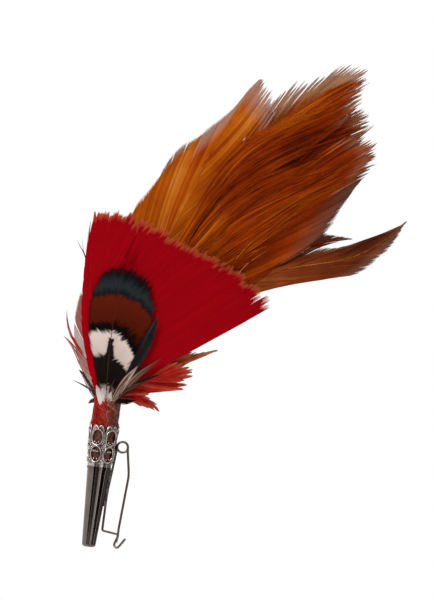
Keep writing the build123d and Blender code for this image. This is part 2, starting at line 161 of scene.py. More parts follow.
for name, azimuth, spread, code in (
    ("black_card_left", -36, 22, "060505"),
    ("brown_card_front", -7, 32, "6B5F58"),
    ("black_card_right", 55, 40, "060505"),
    ("grey_card_right", 112, 60, "8C837E"),
):
    card_face, tree = new_material(name)
    dull = add_node(tree, "ShaderNodeBsdfPrincipled", None,
                    {"Base Color": linear(code), "Roughness": 0.9, "Specular IOR Level": 0.0})
    add_node(tree, "ShaderNodeOutputMaterial", None, {"Surface": dull.outputs[0]})
    shape = bmesh.new()
    bmesh.ops.create_grid(shape, x_segments=1, y_segments=1, size=1)
    half_width = CARD_AWAY * math.tan(math.radians(spread / 2))
    bmesh.ops.scale(shape, verts=shape.verts, vec=(half_width, CARD_HALF_HEIGHT, 1))
    flag = stand(name, bpy.data.meshes.new(name))
    shape.to_mesh(flag.data)
    shape.free()
    flag.data.materials.append(card_face)
    turn = math.radians(azimuth)
    place = (CARD_AWAY * math.sin(turn), -CARD_AWAY * math.cos(turn), CARD_MIDDLE)
    aim(flag, place, (0, 0, CARD_MIDDLE))
    flag.visible_camera = False
    flag.visible_diffuse = False
    flag.visible_shadow = False

# Holder tube and the strap round its mouth: rolled brass, plated with dark nickel and polished, so it mirrors
# the room in long stripes. Hairlines run round it and brown tarnish clouds it.
def plated(name, colour, stain, stain_size, roughness, scratch_pitch=0.25, painted_shade_mm=0.0):
    """Polished plate: stains about stain_size mm wide, hairlines in its gloss, painted shade in its hollows.
    """
    made, tree = new_material(name)
    spot = add_node(tree, "ShaderNodeTexCoord")
    cloud = add_node(tree, "ShaderNodeTexNoise", None,
                     {"Vector": spot.outputs["Object"], "Scale": 1 / (stain_size * MM), "Detail": 4.0})
    patch = add_node(tree, "ShaderNodeMapRange", None,
                     {0: cloud.outputs["Fac"], 1: 0.48, 2: 0.75, 3: 0.0, 4: 0.7})
    tint = add_node(tree, "ShaderNodeMix", {"data_type": "RGBA"},
                    {"Factor": patch.outputs[0], 6: linear(colour), 7: linear(stain)})
    drawn = add_node(tree, "ShaderNodeMapping", None,
                     {"Vector": spot.outputs["Object"], "Scale": (0.2, 0.2, 1)})
    scratch = add_node(tree, "ShaderNodeTexNoise", None,
                       {"Vector": drawn.outputs[0], "Scale": 1 / (scratch_pitch * MM), "Detail": 3.0})
    rough = add_node(tree, "ShaderNodeMapRange", None,
                     {0: scratch.outputs["Fac"], 1: 0.3, 2: 0.8, 3: roughness, 4: roughness + 0.1})
    dents = add_node(tree, "ShaderNodeBump", None,
                     {"Strength": 0.1, "Distance": 0.02 * MM, "Height": scratch.outputs["Fac"]})
    surface = tint.outputs[2]
    # Painted shade: the plate darkens towards near black in the hollows that the occlusion finds.
    if painted_shade_mm:
        hollow = add_node(tree, "ShaderNodeAmbientOcclusion", {"samples": 6}, {"Distance": painted_shade_mm * MM})
        depth = add_node(tree, "ShaderNodeMapRange", None,
                         {0: hollow.outputs["AO"], 1: 0.35, 2: 0.95, 3: 1.0, 4: 0.0})
        surface = add_node(tree, "ShaderNodeMix", {"data_type": "RGBA"},
                           {"Factor": depth.outputs[0], 6: surface, 7: linear("15100E")}).outputs[2]
    skin = add_node(tree, "ShaderNodeBsdfPrincipled", None,
                    {"Base Color": surface, "Metallic": 1.0, "Roughness": rough.outputs[0],
                     "Normal": dents.outputs[0]})
    add_node(tree, "ShaderNodeOutputMaterial", None, {"Surface": skin.outputs[0]})
    return made


def finish(node_name, material):
    """Gives a CAD piece that keeps its shape its real finish."""
    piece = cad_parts[node_name]
    piece.data.materials.clear()
    piece.data.materials.append(material)


tube_plate = plated("polished_dark_nickel", "736A66", "544A45", 5, 0.05)
finish("holder_tube", tube_plate)
finish("collar_band", tube_plate)

# Pierced collar: stamped and flared brass, plated bright, with painted shade darkening its hollows. Half-round
# beads are soldered on its raised rings and along its scalloped mouth, with small grains inside and between
# the rings.
COLLAR_FOOT, COLLAR_MOUTH = 24.23, 36.6
COLLAR_RADIUS, COLLAR_FLARE = 3.552, 0.0704
MOTIFS = [-21.4 + 60 * n for n in range(6)]
RINGS = (28.1, 33.15)
RING_HALF = (1.75, 2.4)
RING_AWAY = 4.1
RING_BEAD, MOUTH_BEAD = 0.2, 0.27
collar_plate = plated("stamped_bright_nickel", "BEB3AC", "8A7C72", 0.9, 0.15, painted_shade_mm=0.7)
finish("pierced_collar", collar_plate)


def on_collar(turn, z, proud):
    """The point at turn degrees from the front and height z, proud mm above the collar's sheet."""
    away = COLLAR_RADIUS + COLLAR_FLARE * (z - COLLAR_FOOT) + proud
    return Vector((away * math.sin(math.radians(turn)), -away * math.cos(math.radians(turn)), z)) * MM


def bent_rod(name, lines, radius, sides=2, closed=False):
    """Round rods along rows of (point, share of the radius), as one mesh."""
    curve = bpy.data.curves.new(name, "CURVE")
    curve.dimensions = "3D"
    curve.bevel_depth = radius * MM
    curve.bevel_resolution = sides
    curve.use_fill_caps = True
    for points in lines:
        line = curve.splines.new("POLY")
        line.points.add(len(points) - 1)
        line.use_cyclic_u = closed
        for n, (spot, share) in enumerate(points):
            line.points[n].co = (*spot, 1)
            line.points[n].radius = share
    drawn = stand(name, curve)
    data = bpy.data.meshes.new_from_object(drawn.evaluated_get(bpy.context.evaluated_depsgraph_get()))
    bpy.data.objects.remove(drawn)
    return stand(name, data)


def dress(piece, body, slot, *materials):
    """Gives a new piece its materials and its body. Its slot is not used."""
    piece.data.materials.clear()
    for material in materials:
        piece.data.materials.append(material)
    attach(piece, body)
    return piece


rings = []
for motif in MOTIFS:
    for height in RINGS:
        ring = []
        for n in range(48):
            turn = math.tau * n / 48
            across = math.degrees(RING_HALF[0] * math.cos(turn) / RING_AWAY)
            ring.append((on_collar(motif + across, height + RING_HALF[1] * math.sin(turn), RING_BEAD), 1))
        rings.append(ring)
dress(bent_rod("collar_ring_beads", rings, RING_BEAD, closed=True), "holder", "collar_metal", collar_plate)

NOTCH_DROP = 3.2
rim = []
for motif in MOTIFS:
    for turn, drop in ((-30, NOTCH_DROP), (-26, 2.1), (-22, 1.0), (-17, 0.05), (-13, -0.1), (-8, 0.05),
                       (-4, 0.4), (0, 0.55), (4, 0.4), (8, 0.05), (13, -0.1), (17, 0.05), (22, 1.0),
                       (26, 2.1)):
        rim.append((on_collar(motif + turn, COLLAR_MOUTH - 0.05 - drop, -0.12), 1))
dress(bent_rod("collar_mouth_bead", [rim], MOUTH_BEAD, closed=True), "holder", "collar_metal", collar_plate)

grains = bmesh.new()
spots = []
for motif in MOTIFS:
    spots += [(motif - 9, 31.75, 0.3), (motif + 9, 31.75, 0.3), (motif, 31.3, 0.3)]
    spots += [(motif - 8, 28.98, 0.26), (motif + 8, 28.98, 0.26)]
    spots += [(motif - 8, 26.65, 0.26), (motif + 8, 26.65, 0.26)]
    spots += [(motif + 30 + 5 * step, 30.65 + 0.75 * rise, 0.3) for step, rise in
              ((0, 0), (-1, 0.8), (1, 0.8), (0, 1.6), (-1, -0.8), (1, -0.8), (0, -1.6))]
    spots += [(motif + 30, 26.2, 0.34), (motif + 24, 25.3, 0.25), (motif + 36, 25.3, 0.25)]
for turn, z, size in spots:
    ball = bmesh.ops.create_icosphere(grains, subdivisions=2, radius=size * MM)["verts"]
    bmesh.ops.translate(grains, verts=ball, vec=on_collar(turn, z, 0.05))
grain_mesh = bpy.data.meshes.new("collar_grains")
grains.to_mesh(grain_mesh)
grains.free()
for face in grain_mesh.polygons:
    face.use_smooth = True
dress(stand("collar_grains", grain_mesh), "holder", "collar_metal", collar_plate)

# Solder: soft tin run between the pin's leg and the tube, in three fillets and a thin seam along the leg. It
# wets both, sets with a dull grey skin, and is slightly grainy where it cooled.
solder = plated("soft_solder", "7C7672", "5E5853", 0.6, 0.35)
finish("solder_joints", solder)
SEAM_RADIUS = 0.35
seam = [(Vector(spot) * MM, share) for spot, share in (((2.96, 0, 12.6), 0.7), ((3.08, 0, 16.5), 0.45),
                                                       ((3.38, 0, 20), 0.8), ((3.67, 0, 23.6), 1.1))]
dress(bent_rod("solder_seam", [seam], SEAM_RADIUS), "holder", "solder", solder)

# Safety pin: spring steel wire, drawn and blued dark. Its coil joins the leg soldered to the holder to the arm
# that swings open.
WIRE = 0.70
COIL = Vector((6.271, 0, 30.9))
COIL_RADIUS = 1.6
COIL_TURNS = 1.5
ARM_DEPTH = 1.17
wire_steel = plated("drawn_spring_steel", "6F655D", "4A3E36", 1.5, 0.22, 0.1)
finish("base_wire", wire_steel)
finish("pin_arm", wire_steel)
coil = [(COIL + Vector((-COIL_RADIUS - 0.015, 0, -0.5)), 0.97)]
for n in range(91):
    share = n / 90
    turn = math.pi - math.tau * COIL_TURNS * share
    offset = Vector((COIL_RADIUS * math.cos(turn), -ARM_DEPTH * share, COIL_RADIUS * math.sin(turn)))
    coil.append((COIL + offset, 1))
coil.append((COIL + Vector((COIL_RADIUS + 0.03, -ARM_DEPTH, -0.5)), 0.97))
coil_piece = bent_rod("flexing_coil", [[(spot * MM, share) for spot, share in coil]], WIRE / 2, 5)
coil_piece.data.materials.clear()
coil_piece.data.materials.append(wire_steel)
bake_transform(coil_piece)
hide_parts("spring_coil")


# Packing, glue and binding: brown waxed tape wound round the quills, seen through the collar's windows, brown
# hide glue that sets their ends in the tube, and the thread bound round the neck above the collar. All three
# are dull and mottled, the tape with a slight waxy shine.
def mottled(name, dark, light, size, roughness, relief):
    """A matt or waxy stuff, mottled between two colours in patches of size mm, creased relief mm deep."""
    made, tree = new_material(name)
    spot = add_node(tree, "ShaderNodeTexCoord")
    crumple = add_node(tree, "ShaderNodeTexNoise", None,
                       {"Vector": spot.outputs["Object"], "Scale": 1 / (size * MM), "Detail": 5.0})
    patch = add_node(tree, "ShaderNodeMapRange", None,
                     {0: crumple.outputs["Fac"], 1: 0.35, 2: 0.68, 3: 0.0, 4: 1.0})
    brown = add_node(tree, "ShaderNodeMix", {"data_type": "RGBA"},
                     {"Factor": patch.outputs[0], 6: linear(dark), 7: linear(light)})
    creases = add_node(tree, "ShaderNodeBump", None,
                       {"Strength": 0.8, "Distance": relief * MM, "Height": crumple.outputs["Fac"]})
    skin = add_node(tree, "ShaderNodeBsdfPrincipled", None,
                    {"Base Color": brown.outputs[2], "Roughness": roughness, "Specular IOR Level": 0.3,
                     "Normal": creases.outputs[0]})
    add_node(tree, "ShaderNodeOutputMaterial", None, {"Surface": skin.outputs[0]})
    return made


finish("quill_packing", mottled("waxed_brown_tape", "1C0A06", "7A4030", 0.9, 0.5, 0.25))
finish("glue_plug", mottled("set_hide_glue", "3A1C0C", "5C3218", 1.5, 0.3, 0.1))
finish("neck_wrap", mottled("binding_thread", "3A1712", "7C4A3E", 0.7, 0.7, 0.1))

# Pheasant feather: a cock pheasant's body feather, undyed, banded white, black, chestnut and blue-black. It
# lies at the front of the sheaf. Like all the feathers it is bound in at the neck and glued into the holder.
NECK = 44.0
LAYERS = 17
LAYER_STEP = 0.38
LAYER_LEAN = 0.62
BLADE_THICK = 0.03
BARB_RUNS = 6
QUILL = 0.36
# A barb that ends inside the sheaf counts as this much longer, in mm, so that its end keeps its colour.
HIDDEN_END = 50.0


# Every feather has a tapered shaft of horn, and along both its sides barbs of keratin that leave it
# forwards and gather into locks. A barb is a thin tapered blade. Neighbours overlap near the shaft and part
# towards the edge, so the inner vane is closed and its fringe is sheer. Keratin has a soft satin shine and
# no hard glint.
class Plane:
    """The thin plane one feather grows in: x across, h up from the neck, and out towards the front."""

    def __init__(self, layer):
        middle = layer - (LAYERS - 1) / 2
        lean = math.radians(middle * LAYER_LEAN)
        self.root = Vector((0, middle * LAYER_STEP, NECK))
        self.rise = Vector((0, math.sin(lean), math.cos(lean)))
        self.out = Vector((0, -math.cos(lean), math.sin(lean)))

    def place(self, x, h, out=0.0):
        return (self.root + Vector((x, 0, 0)) + self.rise * h + self.out * out) * MM


class Line:
    """A smooth line through a few (x, h) points, read by the share of its length."""

    def __init__(self, points, runs=10):
        knots = [Vector(p) for p in points]
        knots = [2 * knots[0] - knots[1], *knots, 2 * knots[-1] - knots[-2]]
        self.spots = []
        for a, b, c, d in zip(knots, knots[1:], knots[2:], knots[3:]):
            for n in range(runs):
                t = n / runs
                self.spots.append(0.5 * (2 * b + (c - a) * t + (2 * a - 5 * b + 4 * c - d) * t * t
                                         + (3 * b - a - 3 * c + d) * t ** 3))
        self.spots.append(knots[-2])
        self.marks = [0.0]
        for a, b in zip(self.spots, self.spots[1:]):
            self.marks.append(self.marks[-1] + (b - a).length)
        self.length = self.marks[-1]

    def at(self, share):
        goal = min(max(share, 0.0), 1.0) * self.length
        low, high = 0, len(self.marks) - 1
        while high - low > 1:
            mid = (low + high) // 2
            low, high = (mid, high) if self.marks[mid] <= goal else (low, mid)
        part = (goal - self.marks[low]) / max(self.marks[high] - self.marks[low], 1e-9)
        return self.spots[low].lerp(self.spots[high], part)


class Vane:
    """A mesh under way. Blades are added one by one, each with its own tone, then it becomes a piece."""

    def __init__(self, plane):
        self.plane = plane
        self.mesh = bmesh.new()
        self.tone = self.mesh.verts.layers.float.new("tone")
        self.reach = self.mesh.verts.layers.float.new("reach")
        self.rest = self.mesh.verts.layers.float.new("rest")

    def ribbon(self, points, sides, tones, extra=0.0):
        """A strip of faces along 3-D points, sides[n] being half its width there. It notes the share of its
        length at each point, and how many mm are left to its end, plus any extra."""
        long = (points[-1] - points[0]).length / MM
        runs = len(points) - 1
        strip = bmesh.ops.create_grid(self.mesh, x_segments=runs, y_segments=1, size=1)["verts"]
        strip.sort(key=lambda v: (v.co.y, v.co.x))
        for n in range(runs + 1):
            for vert, sign in ((strip[n], -1), (strip[n + runs + 1], 1)):
                vert.co = points[n] + sides[n] * sign
                vert[self.tone] = tones[n]
                vert[self.reach] = n / runs
                vert[self.rest] = long * (1 - n / runs) + extra

    def blade(self, spots, width, tones, blunt=0.3, twist=0.0, extra=0.0):
        """One barb in the vane's plane, along (x, h, out) spots. It keeps its width to blunt, then tapers."""
        points, sides = [], []
        last = len(spots) - 1
        for n, spot in enumerate(spots):
            t = n / last
            way = (spots[min(n + 1, last)] - spots[max(n - 1, 0)]).xy.normalized()
            half = width / 2 * (1 - max(0.0, (t - blunt) / (1.0001 - blunt)) ** 1.6) + 0.008
            flat, tilt = half * math.cos(twist), half * math.sin(twist)
            points.append(self.plane.place(*spot))
            sides.append(self.plane.place(-way.y * flat, way.x * flat, tilt) - self.plane.place(0, 0, 0))
        self.ribbon(points, sides, tones, extra)

    def hair(self, line, width, tone, lift, blunt=0.1, extra=0.0, shade=None):
        """A loose filament along a line, rising from lift[0] to lift[1]."""
        runs = 9
        spots = [Vector((*line.at(n / runs), lift[0] + (lift[1] - lift[0]) * n / runs))
                 for n in range(runs + 1)]
        tones = [shade(spot, tone) if shade else tone for spot in spots]
        self.blade(spots, width, tones, blunt, 0.0, extra)

    def piece(self, name, nodes, slot, *materials):
        """Gives the blades their thickness and hands them to the frame in place of a CAD piece."""
        data = bpy.data.meshes.new(name)
        self.mesh.to_mesh(data)
        self.mesh.free()
        made = dress(stand(name, data), "holder", slot, *materials)
        thick = made.modifiers.new("blade thickness", "SOLIDIFY")
        thick.thickness = BLADE_THICK * MM
        thick.offset = 0
        if nodes:
            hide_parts(*nodes)
        return made


def add_barbs(vane, shaft, edge, look, chance, shade=None):
    """Barbs from one side of a shaft out to an edge. look says how fine, swept and ragged they are."""
    count = round(edge.length / look["pitch"])
    lock_end = -1.0
    for n in range(count):
        u = (n + chance.random()) / count
        if u > lock_end:
            lock_start, lock_end = u, u + chance.uniform(*look["lock"]) / edge.length
            lock_over = chance.uniform(*look["ragged"])
            lock_tone = chance.gauss(0, look["streak"])
            lock_lift = chance.gauss(0, look["ruffle"])
            lock_twist = chance.gauss(look["shingle"], look["roll"])
        middle = min(1.0, (lock_start + lock_end) / 2)
        off = (u - middle) / (lock_end - lock_start) * 2
        root = shaft.at(1 - (1 - u) ** look["root"])
        own = edge.at(1 - (1 - u) ** look["sweep"])
        tip = own.lerp(edge.at(1 - (1 - middle) ** look["sweep"]), look["gather"])
        over = lock_over - look["point"] * abs(off) ** 1.5 - look["fray"] * chance.random() ** 3
        outer = look["outer"](tip)
        over -= 0 if outer else look["inner"] * chance.random()
        across = (tip - root) * max(0.3, 1 + over / (tip - root).length)
        ahead = (shaft.at(1 - (1 - u) ** look["root"] + 0.02) - root).normalized()
        outward = across - ahead * across.dot(ahead)
        bend = across * 0.5 + outward * look["bulge"]
        tone = look["tone"] + lock_tone + chance.gauss(0, look["grain"])
        rise = across.length / 40
        spots, tones = [], []
        for k in range(BARB_RUNS + 1):
            t = k / BARB_RUNS
            flat = root + bend * 2 * t * (1 - t) + across * t * t
            out = (look["bow"] * t * t + lock_lift * t * t * 2) * rise
            out = out + chance.gauss(0, 0.02) + 0.03 * (n % 5)
            spots.append(Vector((*flat, out)))
            level = tone + look["fade"] * t
            tones.append(shade(flat, level) if shade else level)
        vane.blade(spots, look["width"] * chance.uniform(0.75, 1.2), tones,
                   look["blunt" if outer else "soft"], lock_twist + chance.gauss(0, look["roll"]),
                   0.0 if outer else HIDDEN_END)


def keratin(name, ramp, tips, root, gloss, mottle=0.06):
    """Barbs of keratin. ramp gives the colours from the darkest streak to the lightest. tips is what they
    turn to on their last mm, as (colour, mm, how far), and root what they are beside the shaft."""
    made, tree = new_material(name)
    tone = add_node(tree, "ShaderNodeAttribute", {"attribute_name": "tone"})
    reach = add_node(tree, "ShaderNodeAttribute", {"attribute_name": "reach"})
    spot = add_node(tree, "ShaderNodeTexCoord")
    cloud = add_node(tree, "ShaderNodeTexNoise", None,
                     {"Vector": spot.outputs["Object"], "Scale": 1 / (9 * MM), "Detail": 3.0})
    mottled_tone = add_node(tree, "ShaderNodeMapRange", None,
                            {0: cloud.outputs["Fac"], 1: 0.3, 2: 0.7, 3: -mottle, 4: mottle})
    level = add_node(tree, "ShaderNodeMath", {"operation": "ADD"},
                     {0: tone.outputs["Fac"], 1: mottled_tone.outputs[0]})
    colours = add_node(tree, "ShaderNodeValToRGB", None, {"Fac": level.outputs[0]})
    for n, (stop, code) in enumerate(ramp):
        mark = colours.color_ramp.elements[n] if n < 2 else colours.color_ramp.elements.new(stop)
        mark.position, mark.color = stop, linear(code)
    rest = add_node(tree, "ShaderNodeAttribute", {"attribute_name": "rest"})
    end = add_node(tree, "ShaderNodeMapRange", None,
                   {0: rest.outputs["Fac"], 1: tips[1], 2: 0.0, 3: 0.0, 4: tips[2]})
    tipped = add_node(tree, "ShaderNodeMix", {"data_type": "RGBA"},
                      {"Factor": end.outputs[0], 6: colours.outputs[0], 7: linear(tips[0])})
    base = add_node(tree, "ShaderNodeMapRange", None,
                    {0: reach.outputs["Fac"], 1: root[1], 2: 0.0, 3: 0.0, 4: root[2]})
    rooted = add_node(tree, "ShaderNodeMix", {"data_type": "RGBA"},
                      {"Factor": base.outputs[0], 6: tipped.outputs[2], 7: linear(root[0])})
    skin = add_node(tree, "ShaderNodeBsdfPrincipled", None,
                    {"Base Color": rooted.outputs[2], "Roughness": gloss, "Specular IOR Level": 0.03})
    add_node(tree, "ShaderNodeOutputMaterial", None, {"Surface": skin.outputs[0]})
    return made


# The line of each feather's shaft is kept by name. A shaft runs down into the bundle of quills in the neck.
SHAFTS = {}
BUNDLE_RADIUS = 3.04
SHAFT_FOOT = 3.5
SHAFT_STEPS = 50
chance = random.Random(7)


def feather(name, layer, spine, left, right, left_look, right_look, barbs, rod, shade=None):
    """A feather in its layer: barbs along both sides of its shaft out to the left and right edges, then the
    shaft, down into the neck. All three lines are (x, h) points from the neck up."""
    vane = Vane(Plane(layer))
    shaft = SHAFTS[name] = Line(spine)
    for side, look in ((left, left_look), (right, right_look)):
        add_barbs(vane, shaft, Line([*side, spine[-1]]), look, chance, shade)
    slot = name.split("_")[0] + "_vane"
    vane.piece(name + "_barbs", [name], slot, barbs)
    depth = (layer - (LAYERS - 1) / 2) * LAYER_STEP
    foot = (-1) ** layer * (0.3 + 0.5 * math.sqrt(BUNDLE_RADIUS ** 2 - depth ** 2))
    stops = [(vane.plane.place(foot * 0.9, -SHAFT_FOOT, 0.05), 1.0)]
    for n in range(SHAFT_STEPS):
        taper = max(0.12, 1 - n / (SHAFT_STEPS + 2))
        stops.append((vane.plane.place(*shaft.at(n / SHAFT_STEPS), 0.12), taper))
    dress(bent_rod(name + "_shaft", [stops], QUILL / 2), "holder", slot, rod)


# How barbs grow. In mm: pitch and width of a barb, the least and most width of a lock, how far it may end
# from the edge (ragged), how much shorter its sides (point), single barbs (fray) and barbs inside the sheaf
# (inner) are. In tone, from 0 dark to 1 pale: tone, its scatter between locks (streak) and barbs (grain),
# and fade to the tip. As shares of the barb: gather, bulge, bow and ruffle bend it, and blunt or soft is
# how far it keeps its width. sweep and root lean it forwards, shingle and roll turn it, and outer picks the
# barbs that reach the outline.
HAIRY = {"pitch": 0.23, "lock": (1.2, 4.5), "ragged": (-1.6, 1.0), "streak": 0.06, "ruffle": 0.25,
         "gather": 0.4, "point": 2.0, "fray": 1.6, "bulge": 0.3, "bow": -0.5, "width": 0.34, "grain": 0.05,
         "blunt": 0.8,
         "sweep": 1.9, "root": 0.7, "shingle": 0.12, "roll": 0.12, "tone": 0.45, "fade": 0.0,
         "outer": lambda tip: True, "inner": 12, "soft": 0.3}
CLEAN = {**HAIRY, "lock": (4, 9), "ragged": (-0.3, 0.2), "gather": 0.1, "point": 0.0, "fray": 1.0,
         "streak": 0.05, "ruffle": 0.08, "roll": 0.05, "blunt": 0.92}
FAN = {**CLEAN, "pitch": 0.13, "width": 0.5, "blunt": 0.97, "sweep": 1.0, "root": 0.6, "bulge": 0.0,
       "streak": 0.02, "grain": 0.025, "ruffle": 0.02, "gather": 0.1, "fray": 0.7, "ragged": (-0.9, 1.1),
       "lock": (0.3, 1.3), "point": 0.2, "tone": 0.5, "roll": 0.03, "bow": 0.0}
PATTERN = {**FAN, "pitch": 0.16, "width": 0.42, "sweep": 1.25, "root": 0.8, "bulge": 0.12, "blunt": 0.8,
           "fray": 1.2, "ragged": (-0.8, 0.6), "point": 0.0, "gather": 0.1, "bow": -0.6}
pheasant_barbs = keratin(
    "patterned_pheasant_barbs",
    ((0.0, "D8C4BC"), (0.09, "C8B0A6"), (0.115, "120A08"), (0.29, "16100E"), (0.315, "C8B4AA"),
     (0.45, "DCC8BE"), (0.475, "0C0606"), (0.515, "0C0606"), (0.54, "4C1204"), (0.70, "5C1A08"),
     (0.725, "141214"), (0.775, "262D30"), (0.82, "1E2224"), (0.855, "0E0C0E"), (1.0, "2A0808")),
    ("3C0A08", 1.8, 0.8), ("5C3020", 0.05, 0.1), 0.5, 0.0)
dark_horn = mottled("dark_horn_shaft", "1A0C08", "3A1A10", 3, 0.35, 0.01)


def pheasant_shade(spot, jitter):
    """Which band of the pheasant's pattern a spot is in: arcs across the feather, steeper at its right."""
    x, h = spot.x + 1.2, spot.y
    low = h + (0.115 if x > 0 else 0.018) * x * x
    high = h + (0.045 if x > 0 else 0.033) * x * x
    band = low if low < 23.4 else max(23.4, high)
    if abs(x) < 0.5 * (18.8 - h) and h > 12 and abs(x) < 1.2:
        band = min(band, 10)
    return band / 45 + (jitter - 0.5) * 0.25


feather(
    "pheasant_feather", 0,
    [(-0.5, 2), (-1.1, 10), (-1.3, 21), (-0.9, 31), (-0.8, 40.4)],
    [(-1.8, 2), (-3.8, 5), (-6.2, 13), (-8.4, 20.4), (-8.9, 29), (-7.2, 36.6), (-4, 39.7)],
    [(1.8, 3), (4.6, 9), (8, 17), (10.3, 25), (10.2, 32), (8, 37), (4, 40)],
    {**PATTERN, "fray": 0.5, "ragged": (-0.3, 0.2), "blunt": 0.92}, PATTERN, pheasant_barbs, dark_horn,
    pheasant_shade)

# Red feathers: two wide goose feathers dyed crimson all through, one behind the other, with their tops clipped
# to one arc. The dye is flat and matt, and the clipped ends of the barbs are pale where it took less.
red_barbs = keratin("dyed_crimson_barbs",
                    ((0.0, "5C0004"), (0.3, "880008"), (0.6, "9C000E"), (1.0, "C0201C")),
                    ("C65C3E", 2.4, 0.85), ("90000A", 0.15, 0.3), 0.6, 0.03)
red_horn = mottled("dyed_crimson_shaft", "6A0008", "8C000E", 3, 0.4, 0.01)
feather(
    "red_feather_left", 1,
    [(-1.5, 2), (-4.5, 12), (-8, 24), (-10, 38), (-10.9, 55.3)],
    [(-3, 2), (-5.2, 4.5), (-8.6, 14), (-11, 24), (-11.9, 36), (-12, 46)],
    [(0, 6), (2, 21), (4.2, 36), (4.2, 48), (1.5, 55.5), (-4, 56.4)],
    {**FAN, "sweep": 1.5, "ragged": (-0.1, 0.05), "fray": 0.1, "lock": (3, 6),
     "outer": lambda tip: tip.y > 53, "inner": 0.2, "soft": 0.95},
    {**FAN, "sweep": 1.4, "outer": lambda tip: tip.y > 53, "inner": 24, "bow": -1.1}, red_barbs, red_horn)
feather(
    "red_feather_fan", 2,
    [(0.5, 2), (-1.5, 14), (-2.6, 28), (-2, 42), (-0.5, 56.2)],
    [(-1, 4), (-4, 12), (-6, 26), (-6, 40), (-4, 52)],
    [(44.8, 34.4), (41.6, 38.2), (32.7, 44), (21.5, 48.6), (10.3, 52.7)],
    {**FAN, "sweep": 1.4}, {**FAN, "pitch": 0.11}, red_barbs, red_horn)

# Red hackles: two short cock's hackles dyed a duller red, ragged and stuck into points, that stand out at the
# right below the fan.
hackle_barbs = keratin("dyed_hackle_barbs",
                       ((0.0, "3C0604"), (0.35, "86100A"), (0.65, "AE281C"), (1.0, "C8604A")),
                       ("B06A54", 3, 0.5), ("A01410", 0.2, 0.4), 0.5, 0.1)
HACKLE = {**HAIRY, "pitch": 0.12, "lock": (1.2, 2.6), "width": 0.5, "sweep": 2.0, "root": 0.6, "tone": 0.4,
          "ragged": (-1.8, 0.6), "point": 1.0, "fray": 0.6, "fade": 0.1, "gather": 0.3, "streak": 0.09,
          "bulge": 0.15, "blunt": 0.85}
feather(
    "red_hackle_right", 3,
    [(1.5, 2), (8, 6), (15, 8.8), (24.4, 12.2)],
    [(3, 5.5), (10, 12), (17, 14.8), (23, 14.6)],
    [(4, 2), (10.9, 3.4), (16, 5), (21.6, 6.4), (23.6, 9.4)],
    HACKLE, HACKLE, hackle_barbs, red_horn)
feather(
    "red_hackle_low", 4,
    [(2, 1.6), (7, 3.2), (11.5, 1.8), (15.9, -1.1)],
    [(4, 3.6), (8.5, 5), (12, 4.2), (14.3, 2.1)],
    [(4.6, 1.3), (8, 1.4), (10.2, -0.1), (12.2, -1.1)],
    {**HACKLE, "tone": 0.35}, {**HACKLE, "tone": 0.2}, hackle_barbs, red_horn)

# Ginger feathers: a narrow wisp, then ten cock's saddle feathers in their natural colour, from gold at the
# left to dark ginger at the right. They are glossy. Their edges are sheer and turn beige or grey-brown, and
# the right ones are trimmed.
GINGER = ((0.0, "240400"), (0.25, "5C1501"), (0.5, "8E2E03"), (0.75, "B65807"), (1.0, "D08838"))
ginger_barbs = keratin("ginger_barbs", GINGER, ("9C7458", 6, 0.7), ("A04A06", 0.2, 0.4), 0.4)
golden_barbs = keratin("golden_ginger_barbs", GINGER, ("B09080", 10, 0.95), ("A04A06", 0.2, 0.4), 0.4)
cut_barbs = keratin("trimmed_ginger_barbs", GINGER, ("62473A", 15, 0.92), ("A04A06", 0.2, 0.4), 0.4)
brown_barbs = keratin("brown_ginger_barbs", ((0.0, "1C0603"), (0.25, "4A1C0C"), (0.5, "7A3412"),
                                             (0.75, "A85A28"), (1.0, "C88C5C")),
                      ("8A6854", 6, 0.6), ("8A4A1C", 0.2, 0.3), 0.4)
sheer_barbs = keratin("sheer_ginger_barbs", ((0.0, "341204"), (0.25, "662A0A"), (0.5, "8E4412"),
                                             (0.75, "A8622A"), (1.0, "BE8A58")),
                      ("A88672", 14, 0.95), ("A04A06", 0.2, 0.4), 0.4)
horn = mottled("golden_horn_shaft", "B06A14", "D89038", 3, 0.35, 0.01)
BLEND = {**HAIRY, "outer": lambda tip: False, "gather": 0.3, "blunt": 0.85}
SHEER = {**HAIRY, "pitch": 0.16, "width": 0.34, "streak": 0.05, "ruffle": 0.15, "gather": 0.25, "tone": 0.82,
         "blunt": 0.9, "ragged": (-1.4, 2.6), "point": 2.4, "fray": 0.8, "lock": (1.2, 5)}


def patch(spot, x, h, lean, along, across):
    """1 at the middle of a soft oval patch at (x, h), leaning lean degrees, and 0 well away from it."""
    way = Vector((math.cos(math.radians(lean)), math.sin(math.radians(lean))))
    off = Vector((spot.x - x, spot.y - h))
    return math.exp(-(off.dot(way) / along) ** 2 - (off.cross(way) / across) ** 2)


def ginger_painted_light_and_shade(spot, tone):
    """Painted shade and painted light on the ginger sheaf: darker in a hollow under the top feather, where
    shade falls, and lighter in a glow above the fan.
    """
    tone += 0.16 * patch(spot, 24, 57, 50, 12, 6) + 0.1 * patch(spot, 40, 90, 30, 14, 3.5)
    tone += 0.08 * patch(spot, 44, 64, 40, 14, 4) + 0.2 * patch(spot, 30, 89, 40, 6, 4)
    tone -= 0.16 * patch(spot, 49, 86.5, 24, 14, 3) + 0.08 * patch(spot, 30, 66, 45, 12, 2.5)
    return max(0.17, tone)


def swoosh_shade(spot, tone):
    """The lowest ginger feather darkens to its tip."""
    return tone + 0.009 * min(16, max(-18, 54 - spot.x))


